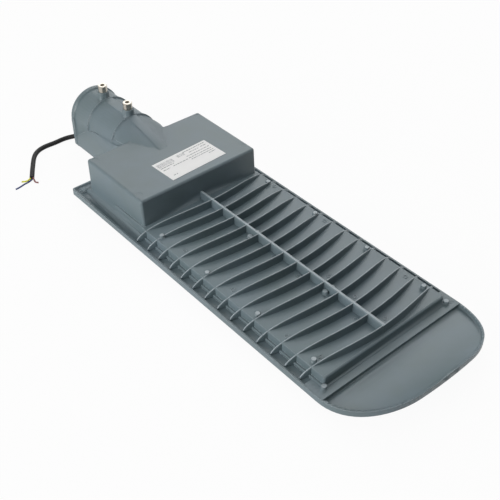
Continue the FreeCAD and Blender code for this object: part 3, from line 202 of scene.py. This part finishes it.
# Moulded nylon: half matt from the mould's fine grain
NYLON = grained("black_nylon", "#131416", 0.5, 0.6, 0.06, "#191a1c")
GREY_NYLON = grained("grey_nylon", "#8b8f92", 0.5, 0.6, 0.06, "#94989b")
# Rubber sheath and PVC cores: dull black rubber beside smooth strong colours
SHEATH = grained("rubber_sheath", "#070708", 0.6, 0.7, 0.05, "#0e0e0f", Specular_IOR_Level=0.3)
BLUE = grained("blue_core", "#20366e", 0.4, 0.6, 0.02, "#263e7a")
BROWN = grained("brown_core", "#7a4a4b", 0.4, 0.6, 0.02, "#865455")
GREEN_YELLOW = grained("green_yellow_core", "#d9d62e", 0.4, 0.6, 0.02, "#e2e040")

NODE_MATERIALS = {
    COAT: ["body_casting"],
    PLATE_COAT: ["glass_frame", "driver_cover"],
    ZINC: ["pole_screw_front", "pole_screw_rear", "pole_screw_washers", "glass_frame_screws",
           "driver_cover_screws", "optic_screws", "driver_screws", "terminal_screws", "earth_screw"],
    FILM: ["rating_label"],
    GLASS: ["cover_glass"],
    LENS: ["optic_left", "optic_right"],
    BOARD: ["led_board_left", "led_board_right"],
    PHOSPHOR: ["leds"],
    SILICONE: ["glass_gasket", "driver_gasket", "gland_seal"],
    ALLOY: ["driver_case"],
    NYLON: ["driver_end_caps", "cable_gland_body", "cable_gland_dome", "cable_gland_nut"],
    GREY_NYLON: ["surge_protector", "terminal_block"],
    BLUE: ["mains_leads"],
    BROWN: ["led_leads"],
}


def paint_nodes():
    """Give every CAD piece that shows its material."""
    for material, names in NODE_MATERIALS.items():
        for name in names:
            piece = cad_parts[name]
            piece.data.materials.clear()
            piece.data.materials.append(material)


# Fin field: the fins, the spine and the floor under them are drawn again with thinner crests and
# crisper edges. Sizes as in the part's source, in millimetres from the gear box's front wall

PAN_W = 193.2
PAN_TOP_Z = 29.7
PAN_FRONT_Y = -331.6
PAN_EDGE_R = 2.5
PLINTH_W = 199.0
PLINTH_TOP_Z = 19.1
FLANGE_TOP_Z = 15.5
LEDGE_TOP_Z = 17.9
FIN_COUNT = 14
FIN_PITCH = 23.33
FIN_FRONT_Y = -326.1
FIN_R = 323.0
FIN_T = 2.2
FIN_SPAN = 219.0
FIN_CREST_Z = 41.4
SPINE_T = 5.0
SPINE_TOP_Z = 41.9
SPINE_END_Y = 2.6
SIDES = (-1, 1)
BOSS_TOP_Z = 34.0
BOSSES = [(side * 89.1, y) for side in SIDES for y in (-31.5, -123.2, -215.0, -306.5)]
BOSSES += [(side * 5.7, y) for y in (-104.2, -238.5) for side in SIDES]
LEDGE_BOSSES = [(side * 99.5, -333.6, LEDGE_TOP_Z - PAN_TOP_Z) for side in SIDES]

# Look of the redrawn fins, spine and floor
CREST_FLATNESS = 3.6
CREST_ROUNDNESS = 1.6
CREST_T = 1.4
SPINE_CREST_T = 2.8
ROUND_DEPTH = 0.5
TAPER_DEPTH = 2.5
LINER_LIFT = 0.05
LINER_T = 0.4
LINER_EDGE = 0.8
FOOT_DRAFT = 0.95
CREST_SHOULDER = 0.55
SHOULDER_DEPTH = 0.2
FOOT_DEPTH = 0.9
OUTER_FOOT_DEPTH = 1.5
PLINTH_FOOT_Z = 17.5
PAN_FOOT_X = 95.0
PLINTH_FOOT_X = 98.0
PAN_STATIONS = 61
PLINTH_STATIONS = 4
OUTER_STATIONS = 8
SPINE_STATIONS = 25
FLOOR_STATIONS = 12

# How near a face of the solid has to lie to a fin or the spine to count as part of it
FACE_REACH = 0.17
CREST_REACH_OUT = 0.05
CREST_REACH_IN = 0.2
BOSS_REACH = 3.7
FACE_MARGIN = 0.05
ABOVE_FLOOR = 0.03
CREST_ABOVE_FLOOR = 0.2
SPINE_MARGIN = 0.06
END_MARGIN = 1.0
TOP_MARGIN = 0.1
SIDE_TURN = 0.9
CREST_TURN = 0.3
CREST_TILT = 0.15

# Merge distances in metres and crease angles in degrees
CASTING_MERGE = 1e-6
PIECE_MERGE = 1e-7
PIECE_CREASE = 35.0
CASTING_CREASE = 32.0

# Quads of a rib section that lie on its rounded crest, which get the painted highlight
CREST_QUADS = slice(2, 6)


def add_piece(name, points, faces, slot, material=COAT, lit=None):
    """Mesh piece from points in millimetres from the gear box's front wall, riding on the head.

    lit: one flag per face, for crests and tops, which get the pale coat as a painted highlight.
    """
    mesh = bpy.data.meshes.new(name)
    placed = (np.asarray(points, dtype=float) + (0.0, CENTRE_SHIFT, 0.0)) * MM
    mesh.from_pydata(placed.tolist(), [], [tuple(int(i) for i in face) for face in faces])
    mesh.materials.append(material)
    if lit is not None:
        mesh.materials.append(HIGHLIGHT_COAT)
        mesh.polygons.foreach_set("material_index", np.asarray(lit, dtype=np.int32))
    shell = bmesh.new()
    shell.from_mesh(mesh)
    bmesh.ops.remove_doubles(shell, verts=shell.verts, dist=PIECE_MERGE)
    bmesh.ops.recalc_face_normals(shell, faces=shell.faces)
    shell.to_mesh(mesh)
    shell.free()
    mesh.shade_smooth()
    mesh.set_sharp_from_angle(angle=math.radians(PIECE_CREASE))
    piece = bpy.data.objects.new(name, mesh)
    bpy.context.scene.collection.objects.link(piece)
    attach(piece, "root")


def tube_faces(stations, around, first=0):
    """Quads between closed sections of equal point counts, with a polygon over each end."""
    index = first + np.arange(stations * around).reshape(stations, around)
    ahead = np.roll(index, -1, axis=1)
    quads = np.stack([index[:-1], index[1:], ahead[1:], ahead[:-1]], axis=-1).reshape(-1, 4)
    return [list(quad) for quad in quads] + [list(index[0][::-1]), list(index[-1])]


def crest_flags(stations, around):
    """Mark the quads of a tube_faces mesh that lie on the rounded crest of a rib section, for the painted
    highlight.
    """
    lit = np.zeros((stations - 1, around), dtype=bool)
    lit[:, CREST_QUADS] = True
    return list(lit.reshape(-1)) + [False, False]


def fin_crest(x):
    """Crest height over x, a superellipse: flange + rise * (1 - |2x / span|^a)^(1 / b)."""
    share = np.clip(1 - np.abs(2 * x / FIN_SPAN) ** CREST_FLATNESS, 0, 1)
    return FLANGE_TOP_Z + (FIN_CREST_Z - FLANGE_TOP_Z) * share ** (1 / CREST_ROUNDNESS)


def rib_section(foot_t, crest_t, foot_z, top_z):
    """Section of a cast rib for each station: straight foot, taper near the top and a rounded crest.

    Nine points go over the top from side to side. Each lies a set depth below the crest, but not
    below the foot.
    """
    half = np.array([-foot_t, -foot_t * FOOT_DRAFT, -crest_t, -crest_t * CREST_SHOULDER, 0.0]) / 2
    half = np.concatenate([half, -half[-2::-1]])
    down = np.array([np.inf, TAPER_DEPTH, ROUND_DEPTH, ROUND_DEPTH * SHOULDER_DEPTH, 0.0])
    down = np.concatenate([down, down[-2::-1]])
    z = np.maximum(top_z[:, None] - down, foot_z[:, None])
    return np.broadcast_to(half, z.shape), z


def cooling_fins():
    """Arched ribs on circles of one radius, bulging towards the nose, with their feet sunk into the skin.

    A fin's points are (r sin t, centre - r cos t, z): t is the arcsine of x over the middle radius, and
    r and z come from the rib section. Along a fin the foot steps down from the pan to the plinth and
    from there to the flange.
    """
    outer_z = FLANGE_TOP_Z - OUTER_FOOT_DEPTH
    stretches = ((-FIN_SPAN / 2, -PLINTH_FOOT_X, outer_z, OUTER_STATIONS),
                 (-PLINTH_FOOT_X, -PAN_FOOT_X, PLINTH_FOOT_Z, PLINTH_STATIONS),
                 (-PAN_FOOT_X, PAN_FOOT_X, PAN_TOP_Z - FOOT_DEPTH, PAN_STATIONS),
                 (PAN_FOOT_X, PLINTH_FOOT_X, PLINTH_FOOT_Z, PLINTH_STATIONS),
                 (PLINTH_FOOT_X, FIN_SPAN / 2, outer_z, OUTER_STATIONS))
    x = np.concatenate([np.linspace(start_x, end_x, count) for start_x, end_x, _, count in stretches])
    foot_z = np.concatenate([np.full(count, foot) for _, _, foot, count in stretches])
    offset, z = rib_section(FIN_T, CREST_T, foot_z, fin_crest(x))
    middle_r = FIN_R - FIN_T / 2
    turn = np.arcsin(x / middle_r)[:, None]
    radius = middle_r + offset
    points, faces, lit = [], [], []
    for index in range(FIN_COUNT):
        centre_y = FIN_FRONT_Y + index * FIN_PITCH + FIN_R
        fin = np.stack([radius * np.sin(turn), centre_y - radius * np.cos(turn), z], axis=-1)
        faces += tube_faces(*fin.shape[:2], first=len(points) * fin.shape[0] * fin.shape[1])
        lit += crest_flags(*fin.shape[:2])
        points.append(fin.reshape(-1, 3))
    add_piece("cooling_fins", np.concatenate(points), faces, "cast_paint", lit=lit)


def spine():
    """Straight tapered rib: the rib section carried along Y, from the first fin into the gear box."""
    y = np.linspace(FIN_FRONT_Y, SPINE_END_Y, SPINE_STATIONS)
    foot_z = np.full(SPINE_STATIONS, PAN_TOP_Z - FOOT_DEPTH)
    offset, z = rib_section(SPINE_T, SPINE_CREST_T, foot_z, np.full(SPINE_STATIONS, SPINE_TOP_Z))
    line = np.stack([offset, np.broadcast_to(y[:, None], z.shape), z], axis=-1)
    size = line.shape[:2]
    add_piece("spine", line.reshape(-1, 3), tube_faces(*size), "cast_paint", lit=crest_flags(*size))


def fin_floor():
    """Stepped skin under the fins: one profile of floor, wall, plinth and flange carried along Y.

    Each of the two steps on a side has an edge rounded by three points on a quarter circle.
    """
    setback = LINER_EDGE * (1 - math.sqrt(0.5))
    right = []
    steps = ((PAN_W, PAN_TOP_Z, PLINTH_TOP_Z), (PLINTH_W, PLINTH_TOP_Z, FLANGE_TOP_Z))
    for width, top_z, next_z in steps:
        half, top, foot = width / 2 + LINER_LIFT, top_z + LINER_LIFT, next_z + LINER_LIFT
        right += [(half - LINER_EDGE, top), (half - setback, top - setback), (half, top - LINER_EDGE),
                  (half, foot)]
    right.append((FIN_SPAN / 2, FLANGE_TOP_Z + LINER_LIFT))
    outer = np.array([(-x, z) for x, z in right[::-1]] + right)
    inner = (outer - LINER_T * np.stack([np.sign(outer[:, 0]), np.ones(len(outer))], axis=-1))[::-1]
    profile = np.concatenate([outer, inner])
    y = np.linspace(PAN_FRONT_Y + PAN_EDGE_R, 0.0, FLOOR_STATIONS)
    x, y, z = np.broadcast_arrays(profile[:, 0], y[:, None], profile[:, 1])
    skin = np.stack([x, y, z], axis=-1)
    add_piece("fin_floor", skin.reshape(-1, 3), tube_faces(*skin.shape[:2]), "cast_paint")


def on_fin_field(centre, normal):
    """Faces on a fin's two circles, on its crest or on the spine, apart from the bosses' tops."""
    x, y, z = centre[:, 0], centre[:, 1], centre[:, 2]
    side = np.abs(x)
    fillet = PAN_W / 2 - PAN_EDGE_R
    floor_z = np.where(side < fillet, PAN_TOP_Z, PAN_TOP_Z - PAN_EDGE_R
                       + np.sqrt(np.clip(PAN_EDGE_R ** 2 - (side - fillet) ** 2, 0, None)))
    floor_z = np.where(side > PAN_W / 2 - FACE_MARGIN, PLINTH_TOP_Z, floor_z)
    floor_z = np.where(side > PLINTH_W / 2 - FACE_MARGIN, FLANGE_TOP_Z, floor_z)
    found = (side < SPINE_T / 2 + SPINE_MARGIN) & (y > FIN_FRONT_Y - END_MARGIN)
    found &= (y < SPINE_END_Y + END_MARGIN) & (z > PAN_TOP_Z + FACE_MARGIN) & (z < SPINE_TOP_Z + TOP_MARGIN)
    for index in range(FIN_COUNT):
        centre_y = FIN_FRONT_Y + index * FIN_PITCH + FIN_R
        reach = np.hypot(x, y - centre_y)
        across = np.abs(normal[:, 0] * x + normal[:, 1] * (y - centre_y)) / reach
        near = (y < centre_y) & (side < FIN_SPAN / 2 + CREST_REACH_IN)
        near &= (z > floor_z + ABOVE_FLOOR) & (z < SPINE_TOP_Z)
        off_circle = np.minimum(np.abs(reach - FIN_R), np.abs(reach - FIN_R + FIN_T))
        on_side = (across > SIDE_TURN) & (off_circle < FACE_REACH)
        on_crest = (normal[:, 2] > CREST_TILT) & (across < CREST_TURN) & (reach < FIN_R + CREST_REACH_OUT)
        on_crest &= (reach > FIN_R - FIN_T - CREST_REACH_IN) & (z > floor_z + CREST_ABOVE_FLOOR)
        found |= near & (on_side | on_crest)
    for boss_x, boss_y in BOSSES:
        found &= (np.hypot(x - boss_x, y - boss_y) > BOSS_REACH) | (z > BOSS_TOP_Z + FACE_MARGIN)
    return found


def casting_skin():
    """The casting less its fins and spine: a merged copy of the solid's mesh, shaded by face area."""
    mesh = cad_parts["body_casting"].data.copy()
    mesh.name = "casting_skin"
    count = len(mesh.polygons)
    centre = np.empty(count * 3)
    normal = np.empty(count * 3)
    mesh.polygons.foreach_get("center", centre)
    mesh.polygons.foreach_get("normal", normal)
    centre = centre.reshape(-1, 3) / MM - (0.0, CENTRE_SHIFT, 0.0)
    found = np.flatnonzero(on_fin_field(centre, normal.reshape(-1, 3)))
    shell = bmesh.new()
    shell.from_mesh(mesh)
    shell.faces.ensure_lookup_table()
    bmesh.ops.delete(shell, geom=[shell.faces[int(i)] for i in found], context="FACES")
    bmesh.ops.remove_doubles(shell, verts=shell.verts, dist=CASTING_MERGE)
    shell.to_mesh(mesh)
    shell.free()
    mesh.shade_smooth()
    mesh.set_sharp_from_angle(angle=math.radians(CASTING_CREASE))
    mesh.materials.clear()
    mesh.materials.append(COAT)
    piece = bpy.data.objects.new("casting_skin", mesh)
    bpy.context.scene.collection.objects.link(piece)
    weights = piece.modifiers.new("by_face_area", "WEIGHTED_NORMAL")
    weights.keep_sharp = True
    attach(piece, "root")
    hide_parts("body_casting")


# Marks of the casting mould on the fin field, in millimetres from the gear box's front wall

EJECTOR_MARKS = [(-83, -71), (-83, -164), (-86, -261), (-79, -307), (91, -42), (90, -140), (88, -280),
                 (-8.5, -151), (-8, -196), (-10, -244), (19.5, -220), (-9, -291), (17, -265), (17, -312)]
MARK_R = 2.8
MARK_W = 0.6
MARK_H = 0.45
# Pale discs on the screw bosses' tops: a painted highlight
BOSS_HIGHLIGHT_R = 2.8
BOSS_HIGHLIGHT_BORE = 0.05
BOSS_HIGHLIGHT_H = 0.06
MARK_SINK = 0.1
RIM_STEPS = 28


def ring_section(inner, outer, low, high):
    """Radius and height round the section of a flat ring; a disc has a very small bore."""
    return np.array([(inner, low), (outer, low), (outer, high), (inner, high)])


def turned(section, centres):
    """Points and quads of the section turned about the vertical through each centre.

    A point is (radius cos t, radius sin t, height) for t round the circle, moved to the centre's x and y
    and by its rise in z where one is given.
    """
    turn = np.linspace(0, 2 * np.pi, RIM_STEPS, endpoint=False)[:, None]
    size = (RIM_STEPS, len(section))
    ring = np.stack([section[:, 0] * np.cos(turn), section[:, 0] * np.sin(turn),
                     np.broadcast_to(section[:, 1], size)], axis=-1).reshape(-1, 3)
    index = np.arange(RIM_STEPS * len(section)).reshape(size)
    after = np.roll(index, -1, axis=0)
    quads = np.stack([index, after, np.roll(after, -1, axis=1), np.roll(index, -1, axis=1)], axis=-1)
    places = np.array([(x, y, sum(rise)) for x, y, *rise in centres])
    points = (ring[None] + places[:, None]).reshape(-1, 3)
    first = len(ring) * np.arange(len(centres))
    return points, (quads.reshape(1, -1, 4) + first[:, None, None]).reshape(-1, 4)


def ejector_marks_and_boss_highlights():
    """Rings left by the ejector pins on the fin floor, and pale discs on the screw bosses' tops as a painted
    highlight.
    """
    floor_z = PAN_TOP_Z + LINER_LIFT
    ring = ring_section(MARK_R - MARK_W, MARK_R, floor_z - MARK_SINK, floor_z + MARK_H)
    add_piece("ejector_marks", *turned(ring, EJECTOR_MARKS), "cast_paint")
    # Painted highlight: pale discs on the bosses' tops
    boss_highlight = ring_section(BOSS_HIGHLIGHT_BORE, BOSS_HIGHLIGHT_R, BOSS_TOP_Z - MARK_SINK, BOSS_TOP_Z + BOSS_HIGHLIGHT_H)
    points, faces = turned(boss_highlight, BOSSES + LEDGE_BOSSES)
    add_piece("boss_top_highlights", points, faces, "cast_paint", lit=[1] * len(faces))


# Print on the label: rows of plain bars and two blocks of stripes

LABEL_CENTRE = (9.6, 38.8)
LABEL_TURN = 2.7
LABEL_TOP_Z = 68.2
PRINT_LIFT = 0.01
PRINT_T = 0.03
ROW_H = 1.3
# Each row: middle height on the label, start and end along it
PRINT_ROWS = [(2.0, -42.0, -31.0), (2.2, -25.0, 0.0), (7.3, -42.0, -20.0), (18.3, 4.0, 41.0),
              (13.0, 11.0, 27.0), (13.4, 31.0, 41.0), (7.4, 2.0, 41.0), (2.4, 2.0, 41.0),
              (-1.8, 3.0, 41.0), (-6.0, 30.0, 41.0), (-14.6, -38.0, -31.0)]
# Each block of stripes: left, right, bottom, top
PRINT_BLOCKS = [(-42.0, -17.0, 9.6, 18.2), (-8.0, 4.0, 12.6, 18.6)]
# Least and greatest widths of bars, stripes and the gaps after them
BAR_W = (1.4, 5.5)
BAR_GAP = (0.7, 1.1)
STRIPE_W = (0.25, 0.8)
STRIPE_GAP = (0.5, 1.3)
PRINT_SEED = 5


def label_print():
    """Thin boxes just above the film: bars in rows and stripes in blocks, with seeded widths.

    u runs along the label and v across it; both are turned with the label about its centre.
    """
    rng = np.random.default_rng(PRINT_SEED)
    bars = []
    for middle, start, end in PRINT_ROWS:
        while start < end:
            width = min(rng.uniform(*BAR_W), end - start)
            bars.append((start, start + width, middle - ROW_H / 2, middle + ROW_H / 2))
            start += width + rng.uniform(*BAR_GAP)
    for start, end, low, high in PRINT_BLOCKS:
        while start < end:
            width = rng.uniform(*STRIPE_W)
            bars.append((start, start + width, low, high))
            start += width + rng.uniform(*STRIPE_GAP)
    low_u, high_u, low_v, high_v = np.array(bars).T
    u = np.stack([low_u, high_u, high_u, low_u] * 2, axis=-1)
    v = np.stack([low_v, low_v, high_v, high_v] * 2, axis=-1)
    low_z = LABEL_TOP_Z + PRINT_LIFT
    z = np.broadcast_to([low_z] * 4 + [low_z + PRINT_T] * 4, u.shape)
    turn = math.radians(LABEL_TURN)
    x = LABEL_CENTRE[0] + u * math.cos(turn) - v * math.sin(turn)
    y = LABEL_CENTRE[1] + u * math.sin(turn) + v * math.cos(turn)
    box = np.array([(0, 3, 2, 1), (4, 5, 6, 7), (0, 1, 5, 4), (1, 2, 6, 5), (2, 3, 7, 6), (3, 0, 4, 7)])
    faces = (box[None] + u.shape[1] * np.arange(len(bars))[:, None, None]).reshape(-1, 4)
    points = np.stack([x, y, z], axis=-1).reshape(-1, 3)
    add_piece("label_print", points, faces, "label_film", material=INK)


# Cable and cores

def cord_curve(name, route, diameter, material):
    """Round cord on a quadratic spline whose control points are the route's points."""
    curve = bpy.data.curves.new(name, "CURVE")
    curve.dimensions = "3D"
    curve.bevel_depth = diameter / 2 * MM
    curve.bevel_resolution = 6
    curve.resolution_u = 12
    curve.use_fill_caps = True
    spline = curve.splines.new("NURBS")
    spline.points.add(len(route) - 1)
    for point, (x, y, z) in zip(spline.points, route):
        point.co = (x * MM, (y + CENTRE_SHIFT) * MM, z * MM, 1.0)
    spline.order_u = 3
    spline.use_endpoint_u = True
    piece = bpy.data.objects.new(name, curve)
    bpy.context.scene.collection.objects.link(piece)
    curve.materials.append(material)
    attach(piece, "root")
    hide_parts(name.replace("_curve", ""))
    return piece


def cords():
    """Supply cable out of the neck's mouth, with its three cut cores."""
    for name, route, material, slot in (("wire_earth", EARTH_ROUTE, GREEN_YELLOW, "core_green_yellow"),
                                        ("wire_neutral", NEUTRAL_ROUTE, BLUE, "core_blue"),
                                        ("wire_live", LIVE_ROUTE, BROWN, "core_brown")):
        core = cord_curve(name + "_curve", route, WIRE_D, material)
    cable = cord_curve("supply_cable_curve", CABLE_ROUTE, CABLE_D, SHEATH)


# Stage, lamps and camera

CAMERA_PLACE = (-0.5415, -0.65425, 0.70655)
CAMERA_PITCH = 40.154
CAMERA_YAW = 40.503
CAMERA_ROLL = 0.039
SENSOR_MM = 36.0
FOCAL_PIXELS = 849.54
PHOTO_WIDTH = 500
FLOOR_HALF = 4.0
FLOOR_WHITE = 0.95
WORLD_LIGHT = 0.04
HEAD_MIDDLE = (0.0, 0.0, 0.03)


def camera():
    """Camera fitted to the photograph; place in metres, turns in degrees, focal length in pixels."""
    data = bpy.data.cameras.new("camera")
    data.sensor_width = SENSOR_MM
    data.lens = FOCAL_PIXELS / PHOTO_WIDTH * SENSOR_MM
    data.clip_start = 0.01
    seen = bpy.data.objects.new("camera", data)
    seen.location = CAMERA_PLACE
    seen.rotation_euler = [math.radians(turn) for turn in (90 - CAMERA_PITCH, CAMERA_ROLL, -CAMERA_YAW)]
    bpy.context.scene.collection.objects.link(seen)
    bpy.context.scene.camera = seen


def lamp(name, place, target, size, power):
    """Square white soft light aimed at a point."""
    data = bpy.data.lights.new(name, "AREA")
    data.shape = "SQUARE"
    data.size = size
    data.energy = power
    light = bpy.data.objects.new(name, data)
    light.location = place
    light.rotation_euler = (Vector(target) - Vector(place)).to_track_quat("-Z", "Y").to_euler()
    bpy.context.scene.collection.objects.link(light)


def white_to_eye(tree, plain_shader, strength):
    """Mix towards white light for camera, glossy and transmission rays only."""
    path = node(tree, "ShaderNodeLightPath")
    either = node(tree, "ShaderNodeMath",
                  {0: path.outputs["Is Camera Ray"], 1: path.outputs["Is Glossy Ray"]}, operation="MAXIMUM")
    seen = node(tree, "ShaderNodeMath", {0: either.outputs[0], 1: path.outputs["Is Transmission Ray"]},
                operation="MAXIMUM")
    share = node(tree, "ShaderNodeMath", {0: seen.outputs[0]}, operation="MULTIPLY")
    share.inputs[1].default_value = strength
    white = node(tree, "ShaderNodeEmission")
    return node(tree, "ShaderNodeMixShader",
                {"Fac": share.outputs[0], 1: plain_shader, 2: white.outputs["Emission"]}).outputs["Shader"]


def stage():
    """Pale floor under the head and a pale world."""
    mesh = bpy.data.meshes.new("floor")
    corners = [(-FLOOR_HALF, -FLOOR_HALF, 0), (FLOOR_HALF, -FLOOR_HALF, 0), (FLOOR_HALF, FLOOR_HALF, 0),
               (-FLOOR_HALF, FLOOR_HALF, 0)]
    mesh.from_pydata(corners, [], [(0, 1, 2, 3)])
    floor = bpy.data.objects.new("floor", mesh)
    bpy.context.scene.collection.objects.link(floor)
    material, tree, shader, _ = start("white_card", Roughness=0.9)
    shader.inputs["Base Color"].default_value = linear("#eeeeee")
    output = tree.nodes["Material Output"]
    tree.links.new(white_to_eye(tree, shader.outputs["BSDF"], FLOOR_WHITE), output.inputs["Surface"])
    mesh.materials.append(material)
    world = bpy.data.worlds.new("studio")
    world.use_nodes = True
    tree = world.node_tree
    back = tree.nodes["Background"]
    back.inputs["Color"].default_value = (1, 1, 1, 1)
    back.inputs["Strength"].default_value = WORLD_LIGHT
    mixed = white_to_eye(tree, back.outputs["Background"], 1.0)
    tree.links.new(mixed, tree.nodes["World Output"].inputs["Surface"])
    bpy.context.scene.world = world


def lamps():
    """Soft boxes behind on the right, on the right and overhead, and a low pale wall on the left."""
    lamp("back_right_box", (2.0, 2.6, 2.8), HEAD_MIDDLE, size=2.4, power=37)
    lamp("right_box", (2.8, 0.9, 2.4), HEAD_MIDDLE, size=2.4, power=34)
    lamp("top_box", (0.0, 0.0, 3.6), HEAD_MIDDLE, size=3.0, power=36)
    lamp("left_wall", (-2.6, 0.2, 0.6), HEAD_MIDDLE, size=1.6, power=60)


paint_nodes()
label_print()
ejector_marks_and_boss_highlights()
casting_skin()
fin_floor()
cooling_fins()
spine()
cords()
camera()
lamps()
stage()
bpy.context.scene.view_settings.view_transform = "Standard"
